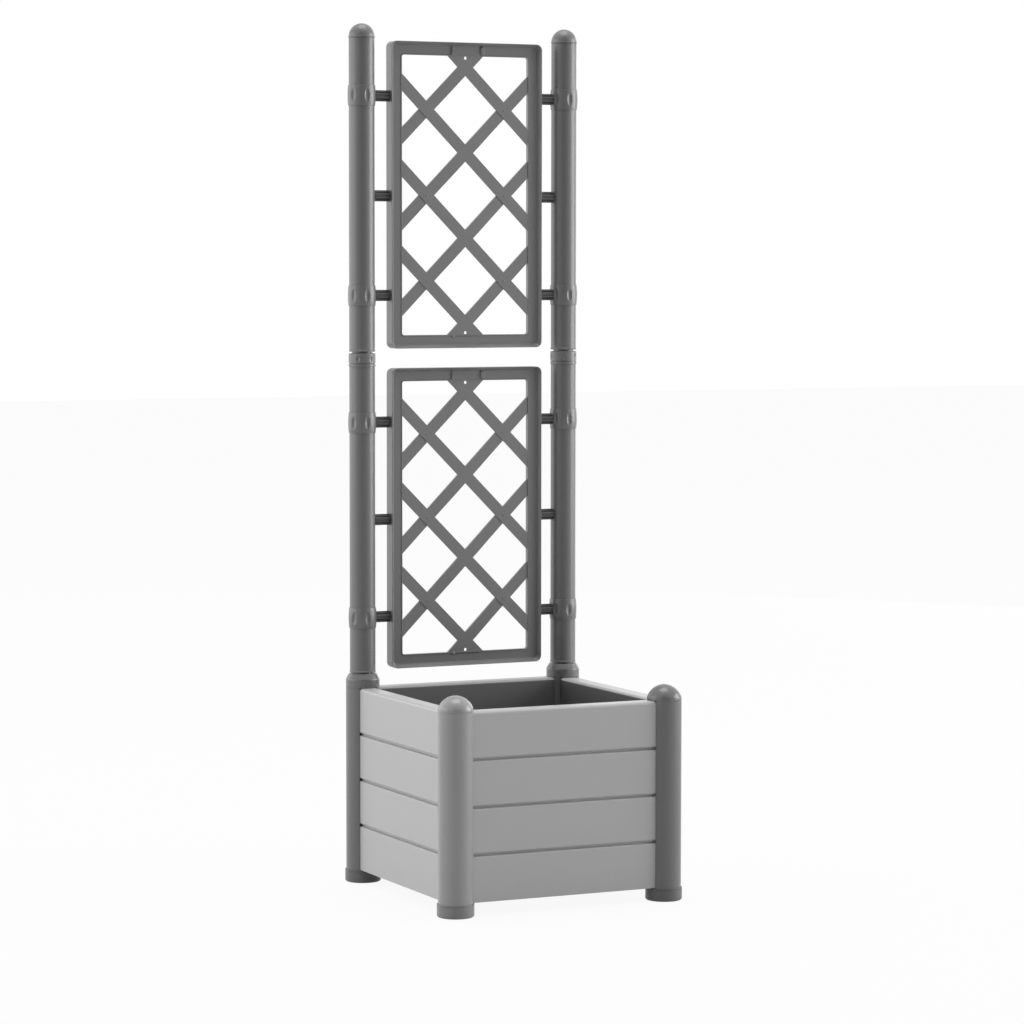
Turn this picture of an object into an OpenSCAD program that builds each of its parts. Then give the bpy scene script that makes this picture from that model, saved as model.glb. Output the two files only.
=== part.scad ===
/* [Planter box] */
// Overall width across the feet, left to right
planter_w = 430; // [400:5:560]
// Overall depth across the feet, front to back
planter_d = 430; // [400:5:560]
// Height of one moulded board on a wall panel
board_h = 75.75; // [60:0.25:95]
// Number of moulded boards on a wall panel
board_count = 4; // [2:1:6]
// Thickness of a wall panel, outer face to inner face
panel_t = 30; // [26:1:33]
// Wall thickness of the hollow panels
panel_wall = 3; // [2:0.5:4]
// Diameter of a corner post
post_d = 56; // [54:1:60]
// Wall thickness of a corner post
post_wall = 3; // [2.5:0.5:4]
// Height of a foot cap
foot_h = 21; // [16:1:30]
// How far a foot cap stands out from its post, all round
foot_lip = 1.75; // [1.25:0.25:3]
// Thickness of the base plate
base_t = 4; // [3:0.5:8]

/* [Trellis] */
// Overall height of planter and trellis
overall_h = 1420; // [1200:10:1700]
// Outer diameter of a trellis tube
tube_d = 42.6; // [38:0.2:44]
// Wall thickness of a trellis tube
tube_wall = 2.2; // [1.5:0.1:3]
// Visible length of a pin between tube and trellis frame
pin_len = 26.5; // [16:0.5:34]
// Diameter of a ribbed pin over its ribs
pin_d = 18.4; // [15:0.2:22]
// Width of the trellis frame bars
frame_bar = 22; // [18:0.5:30]
// Depth of the trellis frame, front to back
frame_depth = 24; // [22:0.5:30]
// Width of one lath
lath_w = 19.8; // [14:0.2:24]
// Thickness of one lath
lath_t = 2.5; // [2:0.1:3.5]

/* [Hidden] */
// Drawing quality and shared small sizes
$fn = 64;
overrun = 1;
fit = 0.3;
slide = 0.2;
seam = 0.5;

// Wall panels: levels, grooves between the boards and the ledge for the base
panel_lift = 1;
panel_z0 = foot_h + panel_lift;
panel_h = board_h * board_count;
panel_top = panel_z0 + panel_h;
panel_round = 5;
groove_h = 3.2;
groove_depth = 3;
groove_lip = 2;
panel_rib = 2.5;
panel_cells = 4;
ledge_w = 10;
ledge_h = 14;
ledge_rise = 22;
ledge_end_gap = 1;

// Corner posts: a round tube round a square core, tied by webs
post_r = post_d / 2;
foot_r = post_r + foot_lip;
post_x = planter_w / 2 - foot_r;
post_y = planter_d / 2 - foot_r;
post_top = panel_top + seam;
foot_floor = 3.5;
foot_edge = 3;
foot_line_h = 0.8;
foot_line_depth = 0.5;
foot_line_drop = 2.4;
slot_half = panel_t / 2 + fit;
slot_stop = 3;
panel_end = panel_t / 2 + slot_stop;
core_half = panel_end - fit - slide;
core_wall = 2.5;
core_hole = core_half - core_wall;
web_t = 3;

// Caps on the front posts and collars on the rear posts
cap_skirt = 4.5;
cap_dome = 20.5;
plug_half = core_hole - fit;
cap_plug = 26;
plug_bore = 10.5;
collar_h = 22.5;
collar_round = 6;
collar_plug = 60;

// Trellis tubes, couplers, rings and finials
tube_r = tube_d / 2;
tube_bore = tube_r - tube_wall;
spigot_r = tube_bore - slide;
spigot_wall = 3;
spigot_len = 60;
coupler_h = 23;
coupler_proud = 1;
coupler_groove = 1.4;
coupler_groove_depth = 0.6;
coupler_step = 4.1;
neck_h = 2.6;
neck_r = 20;
left_coupler_turn = 19;
right_coupler_turn = 26;
finial_h = 24;
finial_ridge_h = 2.4;
finial_ridge = 1;
ring_h = 34;
ring_edge = 1;
ring_bulge = 1;
dimple_count = 6;
dimple_depth = 0.7;
dimple_ball = 60;
collar_top = post_top + collar_h;
tubes_h = overall_h - finial_h - coupler_h - collar_top;
lower_tube_share = 0.4966;
lower_tube_h = tubes_h * lower_tube_share;
upper_tube_h = tubes_h - lower_tube_h;
coupler_z = collar_top + lower_tube_h;
upper_tube_z = coupler_z + coupler_h;
finial_z = upper_tube_z + upper_tube_h;

// Trellis frames: an outer wall round a flange that the laths end in
frame_gap_low = 6;
frame_gap_high = 3.5;
frame_forward = 2.5;
frame_w = 2 * (post_x - tube_r - pin_len);
frame_wall = 3.5;
frame_round = 10;
flange_t = 7;
flange_back = 7.75;
lath_proud = 0.625;
lath_back = flange_back + flange_t + lath_proud - 2 * lath_t;
window_round = 4;
cross_inset = 18.6;
cross_gap_count = 3;
hole_rise = 15.3;
hole_r = 2.75;
hole_clear = 1;
relief_turn = 22.5;
gusset_root = 8;
gusset_half_share = 1.5;

// Pins: a ribbed body with a round spigot at each end
pin_r = pin_d / 2;
pin_rib_h = 1;
pin_rib_count = 10;
pin_rib_t = 2;
pin_spigot_r = 5;
pin_reach = 4;
pin_socket = 2.7;
pin_row_share = 0.318;

// Base plate: rim of ribs underneath and drain holes
base_gap = 0.5;
base_rib_t = 3;
base_rib_h = 12;
base_rib_count = 4;
drain_r = 6;
drain_count = 3;
drain_spread_share = 0.3;

left = -1;
right = 1;
front = -1;
rear = 1;
bottom_row = -1;
middle_row = 0;
top_row = 1;

// Radius of the ball whose cap has this base radius and height
function cap_ball(base_r, h) = (base_r * base_r + h * h) / (2 * h);

// Height and middle level of the lower and upper trellis frames
function tube_low(upper) = upper ? upper_tube_z : collar_top;
function tube_len(upper) = upper ? upper_tube_h : lower_tube_h;
function frame_h(upper) = tube_len(upper) - frame_gap_low - frame_gap_high;
function frame_mid(upper) = tube_low(upper) + frame_gap_low + frame_h(upper) / 2;
function window_h(upper) = frame_h(upper) - 2 * frame_bar;
function window_w() = frame_w - 2 * frame_bar;
function hole_level(upper) = window_h(upper) / 2 - cross_inset + hole_rise;
function pin_level(upper, row) = tube_low(upper) + tube_len(upper) * (1 / 2 + row * pin_row_share);

// Distance between two crossings on the middle line of a frame
function cross_step(upper) = (window_h(upper) - 2 * cross_inset) / cross_gap_count;

// Crossing levels, from the middle, whose laths run through the window
function lath_levels(upper) =
    let (step = cross_step(upper), most = ceil(frame_w / step) + cross_gap_count)
    [for (k = [-most : most])
        let (level = (k + (cross_gap_count % 2) / 2) * step)
        if (abs(level) < (window_h(upper) + window_w()) / 2 - lath_w) level];

// A flat rounded rectangle about the origin, drawn with true arcs
module rounded_rect(w, h, r) {
    square([w - 2 * r, h], center = true);
    square([w, h - 2 * r], center = true);
    for (x = [-1, 1], y = [-1, 1])
        translate([x * (w / 2 - r), y * (h / 2 - r)]) circle(r);
}

// Cross-section of a panel: x is depth with the inner face at +panel_t/2, y is height
module panel_section() {
    difference() {
        union() {
            translate([-panel_t / 2, 0]) square([panel_t, panel_h - panel_round]);
            translate([-panel_t / 2 + panel_round, 0]) square([panel_t - 2 * panel_round, panel_h]);
            for (x = [-1, 1])
                translate([x * (panel_t / 2 - panel_round), panel_h - panel_round]) circle(panel_round);
        }
        for (k = [1 : board_count - 1])
            translate([-panel_t / 2, k * board_h]) groove_section();
    }
}

// The groove between two boards: square above, sloped below where light catches the lip
module groove_section() {
    polygon([
        [-overrun, -groove_h / 2 - groove_lip],
        [0, -groove_h / 2 - groove_lip],
        [groove_depth, -groove_h / 2],
        [groove_depth, groove_h / 2],
        [-overrun, groove_h / 2]
    ]);
}

// Hollow inside of a panel, open at the bottom, wider behind each board
module panel_hollow() {
    deep_in = groove_depth + panel_wall;
    translate([-panel_t / 2 + deep_in, -overrun])
        square([panel_t - deep_in - panel_wall, panel_h - panel_wall + overrun]);
    for (k = [0 : board_count - 1]) {
        low = k == 0 ? -overrun : groove_h / 2 + panel_wall;
        high = board_h - groove_h / 2 - groove_lip - panel_wall;
        translate([-panel_t / 2 + panel_wall, k * board_h + low])
            square([deep_in, high - low]);
    }
}

// Ledge along the foot of the inner face that the base plate rests on
module ledge_section() {
    polygon([
        [panel_t / 2 - panel_wall, ledge_rise - ledge_h],
        [panel_t / 2, ledge_rise - ledge_h],
        [panel_t / 2 + ledge_w, ledge_rise - ledge_h / 3],
        [panel_t / 2 + ledge_w, ledge_rise],
        [panel_t / 2 - panel_wall, ledge_rise]
    ]);
}

// Turns a section drawn in depth and height into a bar along x of the given length
module along_x(len) {
    translate([-len / 2, 0, 0])
        rotate([90, 0, 90]) linear_extrude(len) children();
}

// One wall panel, outer face towards -y, its middle plane on y = 0
module wall_panel(post_offset) {
    len = 2 * (post_offset - panel_end);
    cell = (len - panel_wall * 2 - panel_rib * (panel_cells - 1)) / panel_cells;
    color([0.60, 0.60, 0.60])
    translate([0, 0, panel_z0]) {
        difference() {
            along_x(len) panel_section();
            for (k = [0 : panel_cells - 1])
                translate([(k - (panel_cells - 1) / 2) * (cell + panel_rib), 0, 0])
                    along_x(cell) panel_hollow();
        }
        along_x(2 * (post_offset - post_r - ledge_end_gap)) ledge_section();
    }
}

module front_panel() translate([0, -post_y, 0]) wall_panel(post_x);
module rear_panel() translate([0, post_y, 0]) rotate([0, 0, 180]) wall_panel(post_x);
module left_panel() translate([-post_x, 0, 0]) rotate([0, 0, -90]) wall_panel(post_y);
module right_panel() translate([post_x, 0, 0]) rotate([0, 0, 90]) wall_panel(post_y);

// Base plate with ribs underneath, cut back round the posts and drilled for drainage
module base_plate() {
    half_x = post_x - panel_t / 2 - base_gap;
    half_y = post_y - panel_t / 2 - base_gap;
    rib_x = half_x - ledge_w;
    rib_y = half_y - ledge_w;
    color([0.30, 0.30, 0.30])
    translate([0, 0, panel_z0 + ledge_rise])
    difference() {
        union() {
            translate([-half_x, -half_y, 0]) cube([2 * half_x, 2 * half_y, base_t]);
            for (k = [0 : base_rib_count - 1]) {
                along = (k + 1 / 2) / base_rib_count * 2 - 1;
                translate([along * rib_x - base_rib_t / 2, -rib_y, -base_rib_h])
                    cube([base_rib_t, 2 * rib_y, base_rib_h + base_t]);
                translate([-rib_x, along * rib_y - base_rib_t / 2, -base_rib_h])
                    cube([2 * rib_x, base_rib_t, base_rib_h + base_t]);
            }
        }
        for (x = [-1, 1], y = [-1, 1])
            translate([x * post_x, y * post_y, -base_rib_h - overrun])
                cylinder(r = post_r + base_gap, h = base_rib_h + base_t + 2 * overrun);
        for (i = [1 : drain_count], j = [1 : drain_count])
            translate([
                (i - (drain_count + 1) / 2) * 2 * half_x * drain_spread_share,
                (j - (drain_count + 1) / 2) * 2 * half_y * drain_spread_share,
                -base_rib_h - overrun
            ]) cylinder(r = drain_r, h = base_rib_h + base_t + 2 * overrun);
    }
}

// Post profile before its panel slots are cut: ring, square core and four webs
module post_section() {
    difference() {
        circle(post_r);
        circle(post_r - post_wall);
    }
    intersection() {
        circle(post_r - post_wall / 2);
        difference() {
            union() {
                square(2 * core_half, center = true);
                for (turn = [45, 135])
                    rotate(turn) square([2 * post_r, web_t], center = true);
            }
            square(2 * core_hole, center = true);
        }
    }
}

// Places a corner piece drawn for the front left corner on any corner
module at_corner(side, end) {
    translate([side * post_x, end * post_y, 0])
        mirror([side > 0 ? 1 : 0, 0, 0]) mirror([0, end > 0 ? 1 : 0, 0]) children();
}

// Corner post: its two slots are open at the top and end where the panels rest
module corner_post(side, end) {
    slot_in = core_half;
    slot_out = post_r + overrun - slot_in;
    color([0.36, 0.36, 0.36])
    at_corner(side, end)
    difference() {
        translate([0, 0, foot_floor]) linear_extrude(post_top - foot_floor) post_section();
        translate([slot_in, -slot_half, panel_z0])
            cube([slot_out, 2 * slot_half, panel_h + seam + overrun]);
        translate([-slot_half, slot_in, panel_z0])
            cube([2 * slot_half, slot_out, panel_h + seam + overrun]);
    }
}

module front_left_post() corner_post(left, front);
module front_right_post() corner_post(right, front);
module rear_left_post() corner_post(left, rear);
module rear_right_post() corner_post(right, rear);

// Foot cap: a cup pushed over the bottom of a post
module foot_cap(side, end) {
    color([0.32, 0.32, 0.32])
    at_corner(side, end)
    difference() {
        rotate_extrude() difference() {
            union() {
                translate([0, foot_edge]) square([foot_r, foot_h - foot_edge]);
                square([foot_r - foot_edge, foot_h]);
                translate([foot_r - foot_edge, foot_edge]) circle(foot_edge);
            }
            translate([foot_r - foot_line_depth, foot_h - foot_line_drop])
                square([foot_line_depth + overrun, foot_line_h]);
            translate([-foot_edge * 2, -overrun]) square([foot_edge * 2, foot_h + 2 * overrun]);
        }
        translate([0, 0, foot_floor]) cylinder(r = post_r + slide, h = foot_h);
    }
}

module front_left_foot() foot_cap(left, front);
module front_right_foot() foot_cap(right, front);
module rear_left_foot() foot_cap(left, rear);
module rear_right_foot() foot_cap(right, rear);

// Square plug that holds a cap or collar in the core of a post
module core_plug(len) {
    translate([-plug_half, -plug_half, post_top - len]) cube([2 * plug_half, 2 * plug_half, len]);
}

// Domed cap on a front post
module post_cap(side) {
    ball = cap_ball(post_r, cap_dome);
    dome_z = post_top + cap_skirt;
    color([0.40, 0.40, 0.40])
    at_corner(side, front)
    difference() {
        union() {
            core_plug(cap_plug);
            translate([0, 0, post_top]) cylinder(r = post_r, h = cap_skirt);
            intersection() {
                translate([0, 0, dome_z + cap_dome - ball]) sphere(ball);
                translate([0, 0, dome_z]) cylinder(r = post_r, h = cap_dome + overrun);
            }
        }
        translate([0, 0, post_top - cap_plug - overrun])
            cylinder(r = plug_bore, h = cap_plug + overrun + cap_skirt);
    }
}

module front_left_cap() post_cap(left);
module front_right_cap() post_cap(right);

// Collar on a rear post: plug into the post below, spigot into the trellis tube above
module post_collar(side) {
    color([0.36, 0.36, 0.36])
    at_corner(side, rear)
    difference() {
        union() {
            core_plug(collar_plug);
            translate([0, 0, post_top]) rotate_extrude() intersection() {
                square([post_r, collar_h]);
                union() {
                    square([post_r, collar_h - collar_round]);
                    square([post_r - collar_round, collar_h]);
                    translate([post_r - collar_round, collar_h - collar_round]) circle(collar_round);
                }
            }
            translate([0, 0, collar_top]) cylinder(r = spigot_r, h = spigot_len);
        }
        translate([0, 0, post_top - collar_plug - overrun])
            cylinder(r = plug_bore, h = collar_plug + collar_h + spigot_len + 2 * overrun);
    }
}

module rear_left_collar() post_collar(left);
module rear_right_collar() post_collar(right);

// Moves a piece on a trellis tube to its side, +x towards the trellis
module at_tube(side) {
    translate([side * post_x, post_y, 0]) mirror([side > 0 ? 1 : 0, 0, 0]) children();
}

// Hole through one wall, from the middle of the tube out towards the trellis
module pin_hole(level) {
    translate([0, 0, level]) rotate([0, 90, 0])
        cylinder(r = pin_spigot_r + slide, h = tube_r + ring_edge + ring_bulge + overrun);
}

// Trellis tube, cross-drilled for its three pins
module trellis_tube(side, upper) {
    color([0.36, 0.36, 0.36])
    at_tube(side)
    difference() {
        translate([0, 0, tube_low(upper)]) cylinder(r = tube_r, h = tube_len(upper));
        translate([0, 0, tube_low(upper) - overrun])
            cylinder(r = tube_bore, h = tube_len(upper) + 2 * overrun);
        for (row = [bottom_row, middle_row, top_row]) pin_hole(pin_level(upper, row));
    }
}

module lower_left_tube() trellis_tube(left, false);
module lower_right_tube() trellis_tube(right, false);
module upper_left_tube() trellis_tube(left, true);
module upper_right_tube() trellis_tube(right, true);

// Coupler between the lower and upper tube: a grooved band, a neck above it and two spigots
module tube_coupler(side, turn) {
    band_r = tube_r + coupler_proud;
    color([0.40, 0.40, 0.40])
    at_tube(side)
    translate([0, 0, coupler_z])
    difference() {
        union() {
            cylinder(r = band_r, h = coupler_h - neck_h);
            cylinder(r = neck_r, h = coupler_h);
            translate([0, 0, -spigot_len]) cylinder(r = spigot_r, h = 2 * spigot_len + coupler_h);
        }
        translate([0, 0, -spigot_len - overrun])
            cylinder(r = spigot_r - spigot_wall, h = 2 * (spigot_len + overrun) + coupler_h);
        translate([0, 0, coupler_step]) difference() {
            cylinder(r = band_r + overrun, h = coupler_groove);
            translate([0, 0, -overrun])
                cylinder(r = band_r - coupler_groove_depth, h = coupler_groove + 2 * overrun);
        }
        rotate(turn) dimples(band_r, coupler_h / 2);
    }
}

module left_coupler() tube_coupler(left, left_coupler_turn);
module right_coupler() tube_coupler(right, right_coupler_turn);

// Finial: ridge and dome on top of the tube, spigot inside it
module tube_finial(side) {
    dome_h = finial_h - finial_ridge_h;
    ball = cap_ball(tube_r, dome_h);
    color([0.40, 0.40, 0.40])
    at_tube(side)
    translate([0, 0, finial_z])
    difference() {
        union() {
            cylinder(r = tube_r + finial_ridge, h = finial_ridge_h);
            intersection() {
                translate([0, 0, finial_h - ball]) sphere(ball);
                cylinder(r = tube_r, h = finial_h + overrun);
            }
            translate([0, 0, -spigot_len / 2]) cylinder(r = spigot_r, h = spigot_len / 2);
        }
        translate([0, 0, -spigot_len / 2 - overrun])
            cylinder(r = spigot_r - spigot_wall, h = spigot_len / 2 + finial_ridge_h + overrun);
    }
}

module left_finial() tube_finial(left);
module right_finial() tube_finial(right);

// Shallow finger dimples round a sleeve of the given radius, at height z
module dimples(sleeve_r, z) {
    for (k = [0 : dimple_count - 1])
        rotate(k * 360 / dimple_count + 90)
            translate([sleeve_r - dimple_depth + dimple_ball, 0, z]) sphere(dimple_ball);
}

// Ring: a bulged sleeve on a tube that takes the end of a pin
module pin_ring(side, upper, row) {
    end_r = tube_r + ring_edge;
    ball = cap_ball(ring_h / 2, ring_bulge);
    color([0.40, 0.40, 0.40])
    at_tube(side)
    translate([0, 0, pin_level(upper, row)])
    difference() {
        rotate_extrude() difference() {
            union() {
                translate([0, -ring_h / 2]) square([end_r, ring_h]);
                intersection() {
                    translate([end_r + ring_bulge - ball, 0]) circle(ball, $fn = 160);
                    translate([0, -ring_h / 2]) square([end_r + ring_bulge, ring_h]);
                }
            }
            translate([-end_r, -ring_h]) square([end_r + tube_r + slide, 2 * ring_h]);
        }
        pin_hole(0);
        dimples(end_r + ring_bulge, 0);
    }
}

module lower_left_ring_bottom() pin_ring(left, false, bottom_row);
module lower_left_ring_top() pin_ring(left, false, top_row);
module lower_right_ring_bottom() pin_ring(right, false, bottom_row);
module lower_right_ring_top() pin_ring(right, false, top_row);
module upper_left_ring_bottom() pin_ring(left, true, bottom_row);
module upper_left_ring_top() pin_ring(left, true, top_row);
module upper_right_ring_bottom() pin_ring(right, true, bottom_row);
module upper_right_ring_top() pin_ring(right, true, top_row);

// Turns a flat drawing of a trellis, x across and y up, into a layer from back to front
module trellis_layer(upper, back, thick) {
    translate([0, post_y - frame_forward + frame_depth / 2 - back, frame_mid(upper)])
        rotate([90, 0, 0]) linear_extrude(thick) children();
}

// Flat laths of one direction, ending at the window's edge
module lath_outlines(upper, slope) {
    reach = window_w() + window_h(upper);
    intersection() {
        square([window_w(), window_h(upper)], center = true);
        union()
        for (level = lath_levels(upper))
            translate([0, level]) rotate(slope * 45) square([reach, lath_w], center = true);
    }
}

// Small through holes in the gussets, where a tie or a hook goes
module gusset_holes(upper) {
    for (end = [-1, 1])
        translate([0, post_y + frame_depth, frame_mid(upper) + end * hole_level(upper)])
            rotate([90, 0, 0]) cylinder(r = hole_r, h = 2 * frame_depth);
}

// Straight cuts that keep the ends of the laths clear of the gusset holes
module hole_reliefs(upper, slope) {
    for (end = [-1, 1])
        translate([0, end * hole_level(upper)])
            rotate(slope * relief_turn + 90 * (1 - end))
                translate([-window_w(), -hole_r - hole_clear])
                    square([2 * window_w(), window_w()]);
}

// Trellis frame: outer wall, flange and the gussets behind the laths
module trellis_frame(upper) {
    inner_w = frame_w - 2 * frame_wall;
    inner_h = frame_h(upper) - 2 * frame_wall;
    edge = window_h(upper) / 2;
    gusset_half = cross_inset * gusset_half_share;
    color([0.34, 0.34, 0.34])
    difference() {
        union() {
            trellis_layer(upper, 0, frame_depth) difference() {
                rounded_rect(frame_w, frame_h(upper), frame_round);
                rounded_rect(inner_w, inner_h, frame_round - frame_wall);
            }
            trellis_layer(upper, flange_back, flange_t) difference() {
                rounded_rect(inner_w + frame_wall, inner_h + frame_wall, frame_round - frame_wall / 2);
                rounded_rect(window_w(), window_h(upper), window_round);
            }
            trellis_layer(upper, flange_back, lath_back - flange_back)
                for (end = [-1, 1])
                    polygon([
                        [-gusset_half, end * (edge + gusset_root)],
                        [gusset_half, end * (edge + gusset_root)],
                        [0, end * (edge - cross_inset)]
                    ]);
        }
        gusset_holes(upper);
        for (side = [left, right], row = [bottom_row, middle_row, top_row])
            translate([side * frame_w / 2, post_y, pin_level(upper, row)])
                rotate([0, side * 90, 0]) translate([0, 0, -pin_socket])
                    cylinder(r = pin_spigot_r + slide, h = pin_socket + overrun);
    }
}

module lower_trellis_frame() trellis_frame(false);
module upper_trellis_frame() trellis_frame(true);

// Laths of the rear layer rise to the right, those of the front layer fall
module laths(upper, slope, layer) {
    color([0.44, 0.44, 0.44])
    trellis_layer(upper, lath_back + layer * lath_t, lath_t) difference() {
        lath_outlines(upper, slope);
        hole_reliefs(upper, slope);
    }
}

module lower_rear_laths() laths(false, 1, 0);
module lower_front_laths() laths(false, -1, 1);
module upper_rear_laths() laths(true, 1, 0);
module upper_front_laths() laths(true, -1, 1);

// Ribbed pin from tube to frame: its end is hollowed to the round of what it meets
module trellis_pin(side, upper, row) {
    meets_r = row == middle_row ? tube_r : tube_r + ring_edge + ring_bulge;
    frame_x = tube_r + pin_len;
    color([0.38, 0.38, 0.38])
    at_tube(side)
    translate([0, 0, pin_level(upper, row)]) {
        difference() {
            rotate([0, 90, 0]) linear_extrude(frame_x) {
                circle(pin_r - pin_rib_h);
                for (k = [0 : pin_rib_count - 1])
                    rotate(k * 360 / pin_rib_count)
                        translate([0, -pin_rib_t / 2]) square([pin_r, pin_rib_t]);
            }
            translate([0, 0, -pin_d]) cylinder(r = meets_r + slide, h = 2 * pin_d);
        }
        translate([tube_r - pin_reach, 0, 0]) rotate([0, 90, 0])
            cylinder(r = pin_spigot_r, h = frame_x + pin_socket - slide - tube_r + pin_reach);
    }
}

module lower_left_pin_bottom() trellis_pin(left, false, bottom_row);
module lower_left_pin_middle() trellis_pin(left, false, middle_row);
module lower_left_pin_top() trellis_pin(left, false, top_row);
module lower_right_pin_bottom() trellis_pin(right, false, bottom_row);
module lower_right_pin_middle() trellis_pin(right, false, middle_row);
module lower_right_pin_top() trellis_pin(right, false, top_row);
module upper_left_pin_bottom() trellis_pin(left, true, bottom_row);
module upper_left_pin_middle() trellis_pin(left, true, middle_row);
module upper_left_pin_top() trellis_pin(left, true, top_row);
module upper_right_pin_bottom() trellis_pin(right, true, bottom_row);
module upper_right_pin_middle() trellis_pin(right, true, middle_row);
module upper_right_pin_top() trellis_pin(right, true, top_row);

front_panel();
rear_panel();
left_panel();
right_panel();
base_plate();
front_left_post();
front_right_post();
rear_left_post();
rear_right_post();
front_left_foot();
front_right_foot();
rear_left_foot();
rear_right_foot();
front_left_cap();
front_right_cap();
rear_left_collar();
rear_right_collar();
lower_left_tube();
lower_right_tube();
upper_left_tube();
upper_right_tube();
left_coupler();
right_coupler();
left_finial();
right_finial();
lower_left_ring_bottom();
lower_left_ring_top();
lower_right_ring_bottom();
lower_right_ring_top();
upper_left_ring_bottom();
upper_left_ring_top();
upper_right_ring_bottom();
upper_right_ring_top();
lower_trellis_frame();
lower_rear_laths();
lower_front_laths();
upper_trellis_frame();
upper_rear_laths();
upper_front_laths();
lower_left_pin_bottom();
lower_left_pin_middle();
lower_left_pin_top();
lower_right_pin_bottom();
lower_right_pin_middle();
lower_right_pin_top();
upper_left_pin_bottom();
upper_left_pin_middle();
upper_left_pin_top();
upper_right_pin_bottom();
upper_right_pin_middle();
upper_right_pin_top();
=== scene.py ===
import math

import bmesh
import bpy
from mathutils import Matrix, Vector


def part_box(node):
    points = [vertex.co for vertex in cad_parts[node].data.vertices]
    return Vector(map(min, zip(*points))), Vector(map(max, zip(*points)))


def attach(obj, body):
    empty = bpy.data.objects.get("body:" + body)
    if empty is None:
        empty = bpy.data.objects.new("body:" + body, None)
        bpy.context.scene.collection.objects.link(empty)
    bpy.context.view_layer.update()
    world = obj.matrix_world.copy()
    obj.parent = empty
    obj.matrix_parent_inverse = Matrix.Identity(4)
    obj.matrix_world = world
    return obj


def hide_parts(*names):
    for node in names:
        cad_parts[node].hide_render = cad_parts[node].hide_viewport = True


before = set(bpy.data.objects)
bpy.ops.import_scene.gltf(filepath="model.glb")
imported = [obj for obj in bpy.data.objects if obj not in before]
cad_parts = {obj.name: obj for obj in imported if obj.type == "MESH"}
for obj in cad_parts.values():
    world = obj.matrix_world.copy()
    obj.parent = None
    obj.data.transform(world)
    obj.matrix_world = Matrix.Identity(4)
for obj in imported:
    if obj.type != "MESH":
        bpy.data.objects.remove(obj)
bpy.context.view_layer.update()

# Wall panels. Four hollow panels of mid-grey plastic with painted shade inside, each moulded with
# three grooves so that it looks like four boards. They slide down the slots of the corner posts and
# stand on the slot floors. A ledge along the inside of each panel's foot carries the base plate.
MM = 0.001  # sizes are named in millimetres; places read from the frame are in metres
sharp_turn, eased_turn = 32, 50  # degrees between faces, from which edges stay sharp or are eased
panel_half, panel_wall = 15, 3
board_high, board_count = 75.75, 4
board_round, top_round = 3, 5
panel_high = board_high * board_count
groove_deep, groove_half, groove_slope = 5, 1.5, 1.8
panel_cells, cell_wall_half = 4, 1.4
ledge_out, ledge_top, ledge_high, ledge_end = 10, 22, 14, 11
overlap, face_margin = 0.5, 0.4
panel_grey = 0.40


def middle(node):
    """Middle of a CAD node's box, in metres."""
    low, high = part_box(node)
    return (low + high) / 2


def eased(corners, steps=5):
    """Points of a closed outline whose corners, given as (u, v, radius), are rounded."""
    points = []
    for i, (u, v, radius) in enumerate(corners):
        here = Vector((u, v))
        if not radius:
            points.append(here)
            continue
        back = (Vector(corners[i - 1][:2]) - here).normalized()
        on = (Vector(corners[(i + 1) % len(corners)][:2]) - here).normalized()
        half = back.angle(on) / 2
        centre = here + (back + on).normalized() * radius / math.sin(half)
        start = here + back * radius / math.tan(half) - centre
        turn = start.angle_signed(here + on * radius / math.tan(half) - centre)
        for step in range(steps + 1):
            spoke = start.copy()
            spoke.rotate(Matrix.Rotation(-turn * step / steps, 2))
            points.append(centre + spoke)
    return points


def prism(bm, outline, stations, place=Matrix.Identity(4)):
    """Adds a closed bar: the outline repeated at each station, a (distance, scale) pair."""
    rings = [
        [bm.verts.new(place @ (Vector((u * scale, v * scale, along)) * MM)) for u, v in outline]
        for along, scale in stations
    ]
    bm.faces.new(rings[0])
    bm.faces.new(rings[-1])
    for near, far in zip(rings, rings[1:]):
        for i in range(len(outline)):
            bm.faces.new((near[i - 1], near[i], far[i], far[i - 1]))


def settle(piece):
    """Makes the result of a piece's modifiers its mesh."""
    bpy.context.view_layer.update()
    graph = bpy.context.evaluated_depsgraph_get()
    mesh = bpy.data.meshes.new_from_object(piece.evaluated_get(graph))
    piece.modifiers.clear()
    piece.data = mesh
    return piece


def smooth_over(piece):
    """Smooths a piece's shading up to an angle, with its broad faces kept flat."""
    piece.data.shade_smooth()
    piece.data.set_sharp_from_angle(angle=math.radians(sharp_turn))
    weigh = piece.modifiers.new("Weighted normals", "WEIGHTED_NORMAL")
    weigh.keep_sharp = True
    return settle(piece)


def ease_edges(piece, width):
    """Takes the sharpness off a piece's edges."""
    easing = piece.modifiers.new("Eased edges", "BEVEL")
    easing.width = width * MM
    easing.segments = 2
    easing.limit_method = "ANGLE"
    easing.angle_limit = math.radians(eased_turn)
    return piece


def solid(name, bm, material):
    """Makes an object of a finished mesh, closed at its seams, with its faces outwards."""
    bmesh.ops.remove_doubles(bm, verts=bm.verts, dist=0.002 * MM)
    bmesh.ops.delete(bm, geom=[e for e in bm.edges if not e.link_faces], context="EDGES")
    bmesh.ops.recalc_face_normals(bm, faces=bm.faces)
    mesh = bpy.data.meshes.new(name)
    bm.to_mesh(mesh)
    bm.free()
    mesh.materials.append(material)
    piece = bpy.data.objects.new(name, mesh)
    bpy.context.scene.collection.objects.link(piece)
    return smooth_over(piece)


def keep(piece, slot, *nodes):
    """Fixes a finished piece to the planter in the place of its CAD nodes."""
    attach(piece, "root")
    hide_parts(*nodes)


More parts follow.
